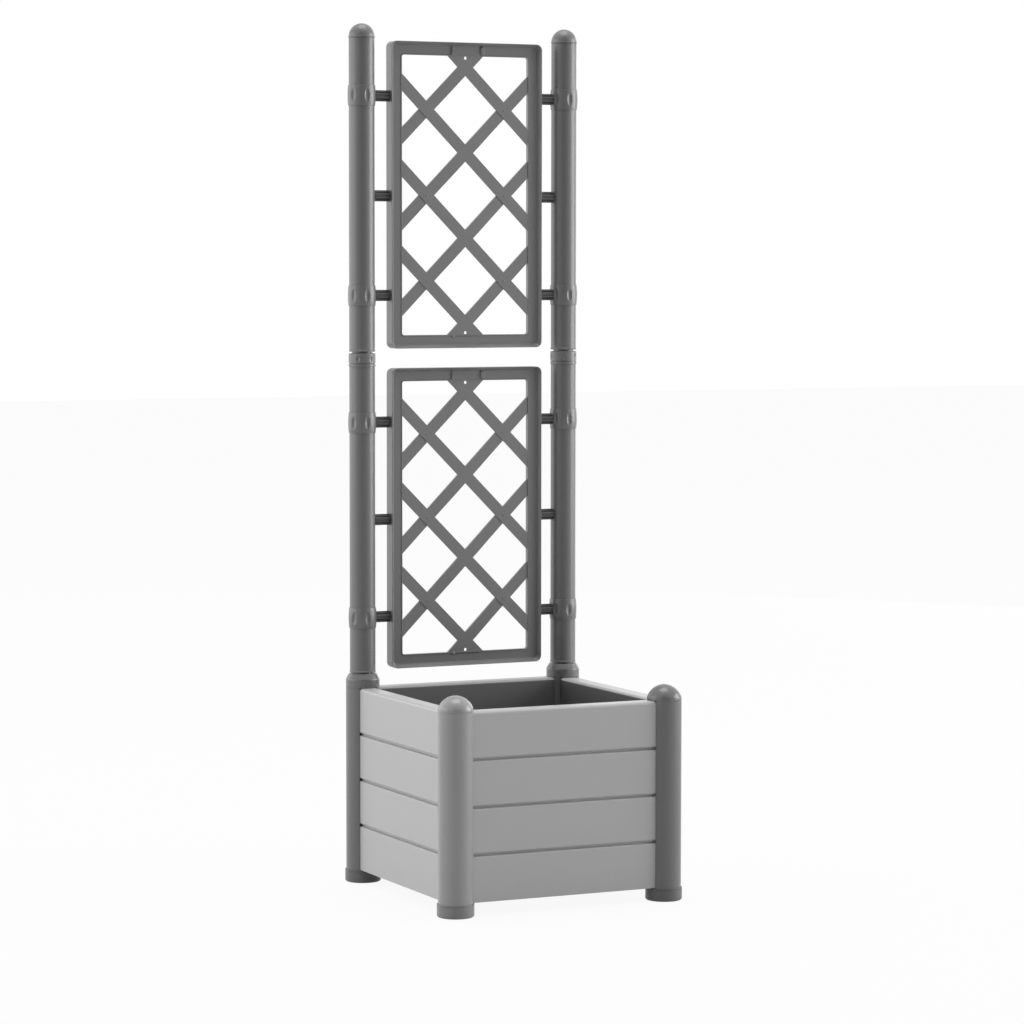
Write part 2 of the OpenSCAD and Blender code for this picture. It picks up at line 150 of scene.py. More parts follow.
def add(tree, kind, sockets={}, **settings):
    """Adds a node; its sockets take plain values or other nodes' outputs."""
    node = tree.nodes.new(kind)
    for name, value in settings.items():
        setattr(node, name, value)
    for name, value in sockets.items():
        if isinstance(value, bpy.types.NodeSocket):
            tree.links.new(value, node.inputs[name])
        else:
            node.inputs[name].default_value = value
    return node


def new_tree(name, kind, inputs, outputs):
    """Starts a node tree with named inputs (name, type, value) and outputs (name, type)."""
    tree = bpy.data.node_groups.new(name, kind)
    for label, socket, value in inputs:
        made = tree.interface.new_socket(label, in_out="INPUT", socket_type="NodeSocket" + socket)
        if value is not None:
            made.default_value = value
    for label, socket in outputs:
        tree.interface.new_socket(label, in_out="OUTPUT", socket_type="NodeSocket" + socket)
    return tree, tree.nodes.new("NodeGroupInput").outputs, tree.nodes.new("NodeGroupOutput")


def grey(level):
    """Colour of a plain grey."""
    return (level, level, level, 1)


# Fine spark-eroded grain of the mould and the slow drift of gloss over a moulded face
mould_grain, given, result = new_tree(
    "Mould grain",
    "ShaderNodeTree",
    [("Grain per metre", "Float", 1800), ("Roughness", "Float", 0.4), ("Drift", "Float", 0.012)],
    [("Height", "Float"), ("Roughness", "Float")],
)
spot = add(mould_grain, "ShaderNodeTexCoord").outputs["Object"]
grain = add(mould_grain, "ShaderNodeTexNoise", {
    "Vector": spot, "Scale": given["Grain per metre"], "Detail": 2.0, "Roughness": 0.6})
cloud = add(mould_grain, "ShaderNodeTexNoise", {"Vector": spot, "Scale": 22.0, "Detail": 3.0})
centred = add(mould_grain, "ShaderNodeMath", {0: cloud.outputs["Fac"], 1: 0.5},
              operation="SUBTRACT")
drift = add(mould_grain, "ShaderNodeMath", {
    0: centred.outputs[0], 1: given["Drift"], 2: given["Roughness"]}, operation="MULTIPLY_ADD")
mould_grain.links.new(grain.outputs["Fac"], result.inputs["Height"])
mould_grain.links.new(drift.outputs[0], result.inputs["Roughness"])

# Slight clouding of the pigment, with fine specks where it is less well mixed
pigment, given, result = new_tree(
    "Pigment",
    "ShaderNodeTree",
    [("Colour", "Color", grey(panel_grey)), ("Clouding", "Float", 0.03),
     ("Specks", "Float", 0.04)],
    [("Colour", "Color")],
)
spot = add(pigment, "ShaderNodeTexCoord").outputs["Object"]
cloud = add(pigment, "ShaderNodeTexNoise", {"Vector": spot, "Scale": 9.0, "Detail": 4.0})
specks = add(pigment, "ShaderNodeTexNoise", {"Vector": spot, "Scale": 900.0, "Detail": 1.0})
clouding = add(pigment, "ShaderNodeMath", {0: cloud.outputs["Fac"], 1: 0.5}, operation="SUBTRACT")
clouding = add(pigment, "ShaderNodeMath", {
    0: clouding.outputs[0], 1: given["Clouding"], 2: 1.0}, operation="MULTIPLY_ADD")
specking = add(pigment, "ShaderNodeMath", {0: specks.outputs["Fac"], 1: 0.5}, operation="SUBTRACT")
specking = add(pigment, "ShaderNodeMath", {
    0: specking.outputs[0], 1: given["Specks"], 2: clouding.outputs[0]}, operation="MULTIPLY_ADD")
shaded = add(pigment, "ShaderNodeVectorMath", {
    0: given["Colour"], "Scale": specking.outputs[0]}, operation="SCALE")
pigment.links.new(shaded.outputs[0], result.inputs["Colour"])


def moulded(name, level, roughness, grain_per_metre, grain_deep):
    """Material of grey moulded plastic with its grain, gloss drift and pigment clouding."""
    material = bpy.data.materials.new(name)
    material.use_nodes = True
    tree = material.node_tree
    shader = tree.nodes["Principled BSDF"]
    paint = add(tree, "ShaderNodeGroup", node_tree=pigment)
    paint.inputs["Colour"].default_value = grey(level)
    skin = add(tree, "ShaderNodeGroup", node_tree=mould_grain)
    skin.inputs["Grain per metre"].default_value = grain_per_metre
    skin.inputs["Roughness"].default_value = roughness
    bump = add(tree, "ShaderNodeBump", {
        "Height": skin.outputs["Height"], "Strength": 0.6, "Distance": grain_deep * MM})
    tree.links.new(paint.outputs["Colour"], shader.inputs["Base Color"])
    tree.links.new(skin.outputs["Roughness"], shader.inputs["Roughness"])
    tree.links.new(bump.outputs["Normal"], shader.inputs["Normal"])
    return material


panel_plastic = moulded("panel plastic", panel_grey, 0.34, 1700, 0.03)
# Painted shade: the panels' inside faces take a darker grey for the shade inside the box, less dark
# on the rear panel, which catches more light.
inner_face_painted_shade = moulded("panel inner face painted shade", 0.10, 0.36, 1700, 0.03)
rear_inner_face_painted_shade = moulded("rear panel inner face painted shade", 0.16, 0.36, 1700, 0.03)
hollow_out = groove_deep + panel_wall - panel_half
pocket_top = board_high - groove_half - groove_slope - panel_wall
panel_outline = [(-panel_half, 0, 0.8)]
for board in range(1, board_count):
    seam = board_high * board
    panel_outline += [
        (-panel_half, seam - groove_half - groove_slope, 1.4),
        (groove_deep - panel_half, seam - groove_half, 0.5),
        (groove_deep - panel_half, seam + groove_half, 0.5),
        (-panel_half, seam + groove_half, board_round),
    ]
panel_outline += [
    (-panel_half, panel_high, top_round),
    (panel_half, panel_high, top_round),
    (panel_half, 0, 0.8),
    (panel_half - panel_wall, 0, 0.4),
    (panel_half - panel_wall, panel_high - panel_wall, 2),
    (hollow_out, panel_high - panel_wall, 2),
    (hollow_out, pocket_top, 0.5),
    (panel_wall - panel_half, pocket_top, 0.5),
    (panel_wall - panel_half, 0, 0.4),
]
ledge_outline = [
    (panel_half - overlap, ledge_top, 0),
    (panel_half + ledge_out, ledge_top, 0.6),
    (panel_half + ledge_out, ledge_top - ledge_high / 3, 0.6),
    (panel_half - overlap, ledge_top - ledge_high, 0),
]
rib_outline = [
    (hollow_out - overlap, overlap),
    (hollow_out - overlap, panel_high - panel_wall + overlap),
    (panel_half - panel_wall + overlap, panel_high - panel_wall + overlap),
    (panel_half - panel_wall + overlap, overlap),
]
run_along = Matrix(((0, 0, 1, 0), (1, 0, 0, 0), (0, 1, 0, 0), (0, 0, 0, 1)))
panel_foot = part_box("front_panel")[0].z
half_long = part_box("front_panel")[1].x / MM
wall_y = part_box("front_panel")[0].y + panel_half * MM
for name, turn in (("front", 0), ("right", 90), ("rear", 180), ("left", -90)):
    facing = Matrix.Rotation(math.radians(turn), 4, "Z")
    place = facing @ Matrix.Translation((0, wall_y, panel_foot)) @ run_along
    bm = bmesh.new()
    prism(bm, eased(panel_outline), [(-half_long, 1), (half_long, 1)], place)
    ledge_half = half_long - ledge_end
    prism(bm, eased(ledge_outline), [(-ledge_half, 1), (ledge_half, 1)], place)
    for rib in range(panel_cells + 1):
        along = (rib / panel_cells * 2 - 1) * (half_long - panel_wall / 2)
        ends = [(along - cell_wall_half, 1), (along + cell_wall_half, 1)]
        prism(bm, rib_outline, ends, place)
    panel = solid(name + "_wall_panel", bm, panel_plastic)
    # The inside faces of each panel get the painted shade.
    panel.data.materials.append(rear_inner_face_painted_shade if name == "rear" else inner_face_painted_shade)
    inward = facing.to_3x3() @ Vector((0, 1, 0))
    for face in panel.data.polygons:
        if face.center.dot(inward) > wall_y + (panel_half - face_margin) * MM:
            face.material_index = 1
    keep(panel, "panel_plastic", name + "_panel")

# Base plate. A ribbed plate of near-black plastic with nine drain holes, cut back round the four
# posts. It lies loose on the ledges of the wall panels and carries the soil.
plate_edge = 0.5
plate_plastic = moulded("base plastic", 0.07, 0.62, 1200, 0.08)
bm = bmesh.new()
bm.from_mesh(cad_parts["base_plate"].data)
bmesh.ops.remove_doubles(bm, verts=bm.verts, dist=0.01 * MM)
bmesh.ops.dissolve_limit(bm, angle_limit=math.radians(1), verts=bm.verts, edges=bm.edges)
plate = solid("drained_base_plate", bm, plate_plastic)
keep(ease_edges(plate, plate_edge), "base_plastic", "base_plate")

# Corner posts. Round posts of darker grey plastic, the front left one painted lighter for the
# stronger light on it, with two upright slots each that the wall panels slide into from above. Each
# is moulded in one length, and its ends are hidden by the foot cap and by the domed cap or collar.
post_r, post_edge = 28, 0.5
slot_half, slot_in = 15.3, 17.5
arc_step = 2.8  # degrees
post_plastic = moulded("post plastic", 0.14, 0.25, 2200, 0.01)
# Painted light: the front left post and its dome take a lighter copy of the post plastic.
post_plastic_painted_light = moulded("post plastic painted light", 0.27, 0.25, 2200, 0.01)
post_plastics_and_painted_light = {
    "front_left": post_plastic_painted_light, "front_right": post_plastic,
    "rear_left": post_plastic, "rear_right": post_plastic,
}


def round_arc(radius, start, stop):
    """Points on an arc about the origin, from one angle to another in degrees."""
    count = max(2, round(abs(stop - start) / arc_step))
    turns = [math.radians(start + (stop - start) * i / count) for i in range(count + 1)]
    return [(radius * math.cos(turn), radius * math.sin(turn), 0) for turn in turns]


slot_turn = math.degrees(math.asin(slot_half / post_r))
slot_mouth = math.sqrt(post_r**2 - slot_half**2)
post_outline = eased(
    round_arc(post_r, 90 + slot_turn + 1, 359 - slot_turn)
    + [(slot_mouth, -slot_half, 0.4), (slot_in, -slot_half, 0.5)]
    + [(slot_in, slot_half, 0.5), (slot_mouth, slot_half, 0.4)]
    + round_arc(post_r, slot_turn + 1, 89 - slot_turn)
    + [(slot_half, slot_mouth, 0.4), (slot_half, slot_in, 0.5)]
    + [(-slot_half, slot_in, 0.5), (-slot_half, slot_mouth, 0.4)],
    steps=3,
)
post_round = [(u, v) for u, v, _ in round_arc(post_r, 0, 360 - arc_step)]
post_corners = {
    "front_left": (1, 1), "front_right": (-1, 1), "rear_left": (1, -1), "rear_right": (-1, -1)
}
for name, (side, end) in post_corners.items():
    low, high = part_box(name + "_post")
    axis = middle(name + "_post")
    place = Matrix.Translation((axis.x, axis.y, 0)) @ Matrix.Diagonal((side, end, 1, 1))
    bm = bmesh.new()
    prism(bm, post_round, [(low.z / MM, 1), (panel_foot / MM, 1)], place)
    top = high.z / MM
    heights = [(panel_foot / MM, 1), (top - post_edge, 1), (top, 1 - post_edge / post_r)]
    prism(bm, post_outline, heights, place)
    keep(solid(name + "_corner_post", bm, post_plastics_and_painted_light[name]), "post_plastic", name + "_post")

# Foot caps. Shallow cups of dark plastic pushed over the lower ends of the posts, with painted
# light on the front left one. Each has a rolled lower edge and a fine line moulded below the rim.
foot_out, foot_high, foot_floor = 29.75, 21, 3.5
foot_round, foot_fit = 3, 0.2
line_low, line_high, line_slope, line_deep = 2.4, 1.6, 0.2, 0.5  # down from the rim, and in
foot_plastic = moulded("foot plastic", 0.11, 0.36, 2000, 0.03)
# Painted light: a lighter copy of the foot plastic for the front left foot.
foot_plastic_painted_light = moulded("foot plastic painted light", 0.19, 0.36, 2000, 0.03)


def lathe(bm, outline, axis, around=128):
    """Turns a closed outline of (radius, height) points about an upright axis."""
    rings = []
    for i in range(around):
        east, north = math.cos(math.tau * i / around), math.sin(math.tau * i / around)
        rings.append([
            bm.verts.new((axis.x + r * MM * east, axis.y + r * MM * north, h * MM))
            for r, h in outline
        ])
    for i in range(around):
        for j in range(len(outline)):
            bm.faces.new((rings[i - 1][j - 1], rings[i][j - 1], rings[i][j], rings[i - 1][j]))


foot_outline = eased([
    (0, 0, 0), (foot_out, 0, foot_round), (foot_out, foot_high - line_low - line_slope, 0.2),
    (foot_out - line_deep, foot_high - line_low, 0),
    (foot_out - line_deep, foot_high - line_high, 0),
    (foot_out, foot_high - line_high + line_slope, 0.2), (foot_out, foot_high, 0.5),
    (post_r + foot_fit, foot_high, 0.3), (post_r + foot_fit, foot_floor, 0), (0, foot_floor, 0),
])
for name in post_corners:
    bm = bmesh.new()
    lathe(bm, foot_outline, middle(name + "_foot"))
    plastic = foot_plastic_painted_light if name == "front_left" else foot_plastic
    keep(solid(name + "_foot_cap", bm, plastic), "fitting_plastic", name + "_foot")

# Domed caps. Each closes a front post with a short straight skirt and a round dome of the post's
# plastic, and holds by a square plug in the core of the post.
dome_base = 330
plug_half, plug_in = 14.7, 1


def dome(base_r, base_h, top_h, steps=18):
    """Points of a ball-shaped dome from its base up to its middle."""
    high = top_h - base_h
    ball = (base_r**2 + high**2) / (2 * high)
    first = math.acos(min(1, base_r / ball)) if high < ball else 0
    turns = [first + (math.pi / 2 - first) * i / steps for i in range(steps + 1)]
    return [(ball * math.cos(turn), top_h - ball + ball * math.sin(turn), 0) for turn in turns]


plug_outline = [
    (-plug_half, -plug_half), (plug_half, -plug_half), (plug_half, plug_half),
    (-plug_half, plug_half)
]
for name in ("front_left", "front_right"):
    low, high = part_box(name + "_cap")
    axis = middle(name + "_cap")
    post_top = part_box(name + "_post")[1].z / MM
    bm = bmesh.new()
    lathe(bm, eased(
        [(0, post_top, 0), (post_r, post_top, 0.4)] + dome(post_r, dome_base, high.z / MM)
    ), axis)
    plug_place = Matrix.Translation((axis.x, axis.y, 0))
    prism(bm, plug_outline, [(low.z / MM, 1), (post_top + plug_in, 1)], plug_place)
    # The front left dome takes its post's painted light.
    keep(solid(name + "_domed_cap", bm, post_plastics_and_painted_light[name]), "fitting_plastic", name + "_cap")

# Collars. Each closes a rear post with a sloped shoulder of the post's plastic. Above it a narrow
# neck shows as a shadow gap, and a round spigot carries a trellis tube; the plug below is square.
shoulder_r, shoulder_drop, shoulder_round = 22.8, 9, 5
spigot_r, neck_r = 18.9, 17
collar_high = 22.5
foot_gap = 2
for name in ("rear_left", "rear_right"):
    low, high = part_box(name + "_collar")
    axis = middle(name + "_collar")
    post_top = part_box(name + "_post")[1].z / MM
    collar_top = post_top + collar_high
    bm = bmesh.new()
    lathe(bm, eased([
        (0, post_top, 0), (post_r, post_top, 0.4),
        (post_r, collar_top - shoulder_drop, shoulder_round),
        (shoulder_r, collar_top, 1), (neck_r, collar_top, 0), (neck_r, collar_top + foot_gap, 0),
        (spigot_r, collar_top + foot_gap, 0), (spigot_r, high.z / MM, 0.6), (0, high.z / MM, 0),
    ], steps=8), axis)
    plug_place = Matrix.Translation((axis.x, axis.y, 0))
    prism(bm, plug_outline, [(low.z / MM, 1), (post_top + plug_in, 1)], plug_place)
    keep(solid(name + "_shoulder_collar", bm, post_plastic), "fitting_plastic", name + "_collar")

# Trellis tubes. Four round tubes of the darker plastic, two on each side, one above the other.
# Each is pushed over the spigot of a collar or coupler, and has a narrow lip at its foot, over the
# shadow gap.
tube_r, tube_bore = 21.3, 19.1
lip_out, lip_high, lip_slope = 0.6, 2.5, 0.7
head_gap = 1.4
tube_plastic = moulded("tube plastic", 0.14, 0.34, 2200, 0.01)
for level, gap_high in (("lower", foot_gap), ("upper", head_gap)):
    for side in ("left", "right"):
        name = f"{level}_{side}_tube"
        low, high = (corner.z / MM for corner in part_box(name))
        foot = low + gap_high
        bm = bmesh.new()
        lathe(bm, eased([
            (tube_bore, foot, 0), (tube_r + lip_out, foot, 0.5),
            (tube_r + lip_out, foot + lip_high, 0.5),
            (tube_r, foot + lip_high + lip_slope, 0.3),
            (tube_r, high, 0.5), (tube_bore, high, 0.3),
        ]), middle(name))
        keep(solid(f"{level}_{side}_trellis_tube", bm, tube_plastic), "trellis_plastic", name)

# Couplers. A grooved band of the darker plastic with small finger dimples, between the lower and
# the upper tube, with a spigot into each of them. Its top narrows to a neck under the upper tube.
band_r, band_start, band_end = 22.3, 1.8, 2.4
neck_high = 1.4
line_rise, line_mouth, line_floor, line_in = 4.6, 0.9, 0.6, 1.3
band_dimple_rise, band_dimple = 12.4, (2.9, 5.2, 1.1)  # half width, half height and depth
dimple_count = 6
skin_deep = 1.35  # how far in from the outside a point is still moved by a dimple
cap_plastic = moulded("cap plastic", 0.15, 0.30, 2200, 0.01)
coupler_turn = {"left": -71, "right": -116}  # bearing of one dimple, in degrees


def press_dimples(bm, axis, level, outer, first, size):
    """Presses lens-shaped dimples of one size round the outside of a sleeve."""
    half_wide, half_high, deep = size
    apart = 360 / dimple_count
    for vert in bm.verts:
        x, y = vert.co.x - axis.x, vert.co.y - axis.y
        radius = math.hypot(x, y)
        if radius < (outer - skin_deep) * MM:
            continue
        off = (math.degrees(math.atan2(y, x)) - first + apart / 2) % apart - apart / 2
        across = math.radians(off) * radius / MM / half_wide
        up = (vert.co.z / MM - level) / half_high
        sink = deep * max(0, 1 - across * across - up * up) * MM
        vert.co.x -= x / radius * sink
        vert.co.y -= y / radius * sink


def upright(radius, low, high, step=0.8):
    """Closely spaced points up the outside of a sleeve, for dimples to be pressed into."""
    count = round((high - low) / step)
    return [(radius, low + (high - low) * i / count, 0) for i in range(count + 1)]


for side, first in coupler_turn.items():
    low, high = (corner.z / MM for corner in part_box(side + "_coupler"))
    axis = middle(side + "_coupler")
    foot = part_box(f"lower_{side}_tube")[1].z / MM
    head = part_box(f"upper_{side}_tube")[0].z / MM
    shoulder_z = head - neck_high
    line_z = foot + line_rise
    bm = bmesh.new()
    lathe(bm, eased(
        [(0, low, 0), (spigot_r, low, 0.5), (spigot_r, foot, 0), (band_r, foot, 0.4)]
        + [(band_r, line_z - line_mouth, 0.2), (band_r - line_in, line_z - line_floor, 0)]
        + [(band_r - line_in, line_z + line_floor, 0), (band_r, line_z + line_mouth, 0.2)]
        + upright(band_r, line_z + band_start, shoulder_z - band_end)
        + [(band_r, shoulder_z, 1.4), (neck_r, shoulder_z, 0.2), (neck_r, head + head_gap, 0)]
        + [(spigot_r, head + head_gap, 0), (spigot_r, high, 0.5), (0, high, 0)],
    ), axis, around=192)
    press_dimples(bm, axis, foot + band_dimple_rise, band_r, first, band_dimple)
    keep(solid(side + "_tube_coupler", bm, cap_plastic), "fitting_plastic", side + "_coupler")

# Finials. A ridge and a dome of the darker plastic close the top of each upper tube, over a fine
# shadow line. A spigot inside the tube holds them.
brim_high, brim_out = 2.4, 1
under_in, under_high = 0.8, 0.7
for side in ("left", "right"):
    low, high = (corner.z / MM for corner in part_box(side + "_finial"))
    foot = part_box(f"upper_{side}_tube")[1].z / MM
    brim_top = foot + brim_high
    bm = bmesh.new()
    lathe(bm, eased(
        [(0, low, 0), (spigot_r, low, 0.5), (spigot_r, foot, 0)]
        + [(tube_r - under_in, foot, 0), (tube_r - under_in, foot + under_high, 0)]
        + [(tube_r + brim_out, foot + under_high, 0.6), (tube_r + brim_out, brim_top, 0.5)]
        + dome(tube_r, brim_top, high)
    ), middle(side + "_finial"))
    keep(solid(side + "_domed_finial", bm, cap_plastic), "fitting_plastic", side + "_finial")

# Rings. A bulged sleeve of the darker plastic with six finger dimples is slid over each tube where
# a pin of the top or bottom row meets it.
ring_half, ring_end, ring_bulge, ring_fit = 17, 22.3, 1, 0.05
ring_step, ring_steps = 0.75, 22
ring_dimple_turn, ring_dimple = -90, (4.4, 11, 1.7)
ring_ball = (ring_half**2 + ring_bulge**2) / (2 * ring_bulge)
ring_heights = [step * ring_step for step in range(-ring_steps, ring_steps + 1)]
for level in ("lower", "upper"):
    for side in ("left", "right"):
        for row in ("bottom", "top"):
            name = f"{level}_{side}_ring_{row}"
            axis = middle(name)
            mid = axis.z / MM
            bulge_r = ring_end + ring_bulge
            skin = [
                (bulge_r - ring_ball + math.sqrt(ring_ball**2 - up**2), mid + up, 0)
                for up in ring_heights
            ]
            bm = bmesh.new()
            lathe(bm, eased(
                [(tube_r + ring_fit, mid - ring_half, 0), (ring_end, mid - ring_half, 0.4)] + skin
                + [(ring_end, mid + ring_half, 0.4), (tube_r + ring_fit, mid + ring_half, 0)],
                steps=3,
            ), axis, around=192)
            press_dimples(bm, axis, mid, bulge_r, ring_dimple_turn, ring_dimple)
            keep(solid(f"{level}_{side}_dimpled_ring_{row}", bm, cap_plastic),
                 "fitting_plastic", name)

# Trellis frames. Two upright frames moulded in dark grey plastic: an outer wall stands round a
# recessed flange with a thin rim, and a pointed gusset with a hole for a tie fills the top and
# bottom of the window. The pins hold each frame by its outer wall.
frame_wall, frame_bar, frame_round, window_round = 3.5, 22, 10, 4
frame_lip, lip_in, lip_back = 0.7, 4.4, 4.8
frame_deep, flange_front, flange_thick = 24, 9.25, 7
rim_wide, rim_out = 1.6, 0.9
gusset_front, gusset_back = 8.7, 11.2
gusset_drop, gusset_half, gusset_slope = 18.6, 27.9, 1.5
gusset_under, low_root = 0.2, 3
hole_rise, hole_r, hole_sides = 15.3, 2.75, 40
ridge_at, ridge_half, ridge_out = -24, 1.5, 2.2
bulge_at, bulge_half, bulge_out = 31, 4.5, 3.2
bulge_drop = 8
# Partly painted shade: the frame's grey is set darker than its own colour, and darker than the
# laths', for the shade in its recessed flange.
frame_plastic_with_painted_shade = moulded("frame plastic with painted shade", 0.165, 0.32, 2200, 0.01)
across_up = Matrix(((1, 0, 0, 0), (0, 0, -1, 0), (0, 1, 0, 0), (0, 0, 0, 1)))


def corner_radius(inset):
    """Corner radius of the frame at an inset from its outer edge."""
    if inset <= frame_wall:
        return frame_round - inset
    share = (inset - frame_wall) / (frame_bar - frame_wall)
    return (frame_round - frame_wall) * (1 - share) + window_round * share


def rounded_ring(half_w, half_h, radius, steps=8):
    """Points round a rectangle with rounded corners."""
    points = []
    for quarter, (side, end) in enumerate(((1, 1), (-1, 1), (-1, -1), (1, -1))):
        for step in range(steps + 1):
            turn = math.pi / 2 * (quarter + step / steps)
            points.append((
                side * (half_w - radius) + radius * math.cos(turn),
                end * (half_h - radius) + radius * math.sin(turn),
            ))
    return points


def drill(piece, spots, radius, reach):
    """Cuts round holes through a piece, front to back."""
    bm = bmesh.new()
    turns = [math.tau * i / hole_sides for i in range(hole_sides)]
    ring = [(radius * math.cos(turn), radius * math.sin(turn)) for turn in turns]
    for spot in spots:
        prism(bm, ring, [(-reach, 1), (reach, 1)], Matrix.Translation(spot) @ across_up)
    cutter = solid("drill", bm, piece.data.materials[0])
    hole = piece.modifiers.new("Holes", "BOOLEAN")
    hole.object = cutter
    hole.solver = "EXACT"
    hole.use_self = True
    settle(piece)
    bpy.data.objects.remove(cutter)
    smooth_over(piece)


frame_outline = eased([
    (0, 0, 0.6), (frame_lip, 0, 0.4), (lip_in, lip_back, 0.8), (lip_in + 0.3, flange_front, 2.5),
    (frame_bar - rim_wide - 0.3, flange_front, 0.3),
    (frame_bar - rim_wide, flange_front - rim_out, 0.3),
    (frame_bar, flange_front - rim_out, 0.5), (frame_bar, flange_front + flange_thick, 0.5),
    (frame_wall, flange_front + flange_thick, 1.5), (frame_wall, frame_deep, 0.8),
    (0, frame_deep, 0.8),
], steps=6)
for level in ("lower", "upper"):
    name = level + "_trellis_frame"
    low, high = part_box(name)
    mid = (low + high) / 2
    half_w, half_h = (high.x - low.x) / 2 / MM, (high.z - low.z) / 2 / MM
    bm = bmesh.new()
    rings = []
    for inset, deep in frame_outline:
        ring = rounded_ring(half_w - inset, half_h - inset, corner_radius(inset))
        rings.append([bm.verts.new((x * MM, low.y + deep * MM, mid.z + z * MM)) for x, z in ring])
    for i in range(len(rings)):
        for j in range(len(rings[i])):
            bm.faces.new((rings[i - 1][j - 1], rings[i - 1][j], rings[i][j], rings[i][j - 1]))
    edge = half_h - frame_bar
    place = Matrix.Translation((0, low.y, mid.z)) @ across_up
    for end in (-1, 1):
        root = end * (edge + (frame_bar - frame_wall if end > 0 else low_root))
        foot = end * (edge - gusset_under)
        gusset = eased([
            (-gusset_half, foot, 0), (-gusset_half + gusset_slope, root, 0),
            (gusset_half - gusset_slope, root, 0), (gusset_half, foot, 0),
            (0, end * (edge - gusset_drop), 0.6),
        ])
        prism(bm, gusset, [(-gusset_front, 1), (-gusset_back, 1)], place)
    root_mid = edge + (frame_bar - frame_wall) / 2
    for across, half, rise in (
        (ridge_at, ridge_half, ridge_out), (bulge_at, bulge_half, bulge_out)
    ):
        bend = half * 0.9
        rib = eased([
            (-half, -bulge_drop, bend), (half, -bulge_drop, bend),
            (half, bulge_drop, bend), (-half, bulge_drop, bend),
        ])
        crown = [(-overlap, 1), (rise * 0.6, 0.9), (rise, 0.6)]
        prism(
            bm, rib, [(up - flange_front, scale) for up, scale in crown],
            place @ Matrix.Translation((across * MM, root_mid * MM, 0)),
        )
    piece = solid(level + "_trellis_surround", bm, frame_plastic_with_painted_shade)
    hole_z = (edge - gusset_drop + hole_rise) * MM
    holes = [(0, mid.y, mid.z + end * hole_z) for end in (-1, 1)]
    drill(piece, holes, hole_r, frame_deep)
    keep(piece, "trellis_plastic", name)

# Laths. Two layers of flat laths cross at right angles over each window, moulded with the frame in
# its plastic, the falling layer in front. Small round nubs stand at the ends of the laths, on the
# crossings beside the middle and below the lower gusset.
lath_wide, lath_thick, lath_edge = 19.8, 2.5, 0.35
trim_deep = 100
step_from, step_to = 25, 48
lath_dip, lath_step = 0.06, 1
cross_gaps, hole_clear = 3, 1.5
nub_r, nub_high, nub_out = 1.7, 0.9, 1.5
foot_nubs, foot_nub_drop = ((-22.5, 3.2), (26, 1.5)), 2  # place across and radius of each
# The laths take a lighter grey than the frame, whose grey holds painted shade.
lath_plastic = moulded("lath plastic", 0.175, 0.32, 2200, 0.01)
lath_layer, given, result = new_tree(
    "Lath layer",
    "GeometryNodeTree",
    [("Geometry", "Geometry", None), ("Laths", "Int", 4), ("Step", "Float", 0.14),
     ("Slope", "Float", math.pi / 4), ("Width", "Float", 0.02), ("Thickness", "Float", 0.0025),
     ("Reach", "Float", 1.0), ("Window width", "Float", 0.25), ("Window height", "Float", 0.47),
     ("Place", "Vector", (0, 0, 0)), ("Plastic", "Material", None)],
    [("Geometry", "Geometry")],
)
gaps = add(lath_layer, "ShaderNodeMath", {0: given["Laths"], 1: 1.0}, operation="SUBTRACT")
span = add(lath_layer, "ShaderNodeMath", {0: gaps.outputs[0], 1: given["Step"]},
           operation="MULTIPLY")
lowest = add(lath_layer, "ShaderNodeMath", {0: span.outputs[0], 1: -0.5}, operation="MULTIPLY")
rows = add(lath_layer, "GeometryNodeMeshLine", {
    "Count": given["Laths"],
    "Start Location": add(lath_layer, "ShaderNodeCombineXYZ", {"Z": lowest.outputs[0]}).outputs[0],
    "Offset": add(lath_layer, "ShaderNodeCombineXYZ", {"Z": given["Step"]}).outputs[0]})
one_lath = add(lath_layer, "GeometryNodeMeshCube", {
    "Size": add(lath_layer, "ShaderNodeCombineXYZ", {
        "X": given["Reach"], "Y": given["Thickness"], "Z": given["Width"]}).outputs[0]})
turned = add(lath_layer, "ShaderNodeCombineXYZ", {"Y": given["Slope"]})
laid = add(lath_layer, "GeometryNodeInstanceOnPoints", {
    "Points": rows.outputs["Mesh"], "Instance": one_lath.outputs["Mesh"],
    "Rotation": turned.outputs[0]})
window = add(lath_layer, "GeometryNodeMeshCube", {
    "Size": add(lath_layer, "ShaderNodeCombineXYZ", {
        "X": given["Window width"], "Y": trim_deep * MM, "Z": given["Window height"]}).outputs[0]})
trimmed = add(lath_layer, "GeometryNodeMeshBoolean", operation="INTERSECT")
lath_layer.links.new(add(lath_layer, "GeometryNodeRealizeInstances", {
    "Geometry": laid.outputs["Instances"]}).outputs[0], trimmed.inputs["Mesh 2"])
lath_layer.links.new(window.outputs["Mesh"], trimmed.inputs["Mesh 2"])
moved = add(lath_layer, "GeometryNodeTransform", {
    "Geometry": trimmed.outputs["Mesh"], "Translation": given["Place"]})
real = add(lath_layer, "GeometryNodeRealizeInstances", {"Geometry": moved.outputs[0]})
finish = add(lath_layer, "GeometryNodeSetMaterial", {
    "Geometry": real.outputs[0], "Material": given["Plastic"]})
lath_layer.links.new(finish.outputs[0], result.inputs["Geometry"])

